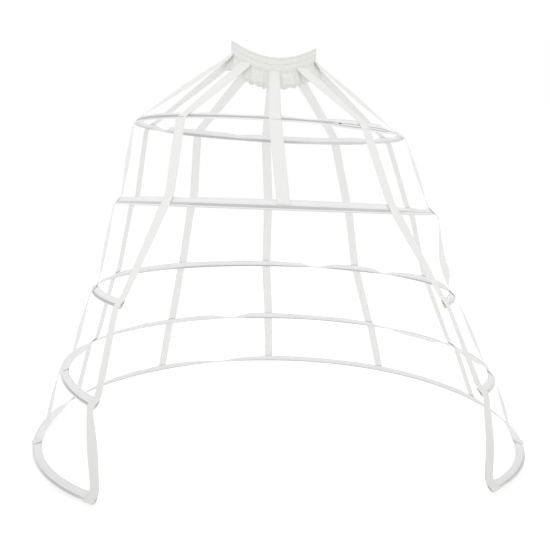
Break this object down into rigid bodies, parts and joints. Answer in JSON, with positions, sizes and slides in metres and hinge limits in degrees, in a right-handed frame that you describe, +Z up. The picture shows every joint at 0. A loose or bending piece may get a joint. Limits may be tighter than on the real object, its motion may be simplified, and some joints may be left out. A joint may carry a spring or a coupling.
{
  "type": "crinoline cage",
  "caption": "Hooped petticoat frame of white ribbon: gathered elastic waistband, vertical ribbon straps and boned hoops that widen to the hem, open at the lower front.",
  "frame": {"origin": "centre of the waist opening, level with the lowest point of the waistband's top edge", "axes": "+Z up through the waist opening, -Y to the wearer's front, +X to the right as seen from the front"},
  "size_m": [1.1769, 1.0278, 0.9394],
  "materials": {
    "strap_ribbon": "matt woven ribbon",
    "hoop_ribbon": "smooth woven ribbon",
    "pocket_ribbon": "folded and stitched ribbon",
    "waistband_fabric": "gathered, matt",
    "elastic": "knitted elastic",
    "boning": "plastic-coated spring strip",
    "boning_metal": "crimped sheet"
  },
  "bodies": {
    "root": {"bone_cap_3_left": "boning_metal", "bone_cap_3_right": "boning_metal", "bone_cap_4_left": "boning_metal", "bone_cap_4_right": "boning_metal", "bone_cap_5_left": "boning_metal", "bone_cap_5_right": "boning_metal", "bone_sleeve_1": "boning_metal", "bone_sleeve_2": "boning_metal", "end_pocket_3_left": "pocket_ribbon", "end_pocket_3_right": "pocket_ribbon", "end_pocket_4_left": "pocket_ribbon", "end_pocket_4_right": "pocket_ribbon", "end_pocket_5_left": "pocket_ribbon", "end_pocket_5_right": "pocket_ribbon", "hoop_bone_1": "boning", "hoop_bone_2": "boning", "hoop_bone_3": "boning", "hoop_bone_4": "boning", "hoop_bone_5": "boning", "hoop_casing_1": "hoop_ribbon", "hoop_casing_2": "hoop_ribbon", "hoop_casing_3": "hoop_ribbon", "hoop_casing_4": "hoop_ribbon", "hoop_casing_5": "hoop_ribbon", "strap_back": "strap_ribbon", "strap_back_inner_left": "strap_ribbon", "strap_back_inner_right": "strap_ribbon", "strap_back_side_left": "strap_ribbon", "strap_back_side_right": "strap_ribbon", "strap_front": "strap_ribbon", "strap_front_side_left": "strap_ribbon", "strap_front_side_right": "strap_ribbon", "strap_side_left": "strap_ribbon", "strap_side_right": "strap_ribbon", "waist_elastic": "elastic", "waistband": "waistband_fabric"}
  },
  "joints": []
}
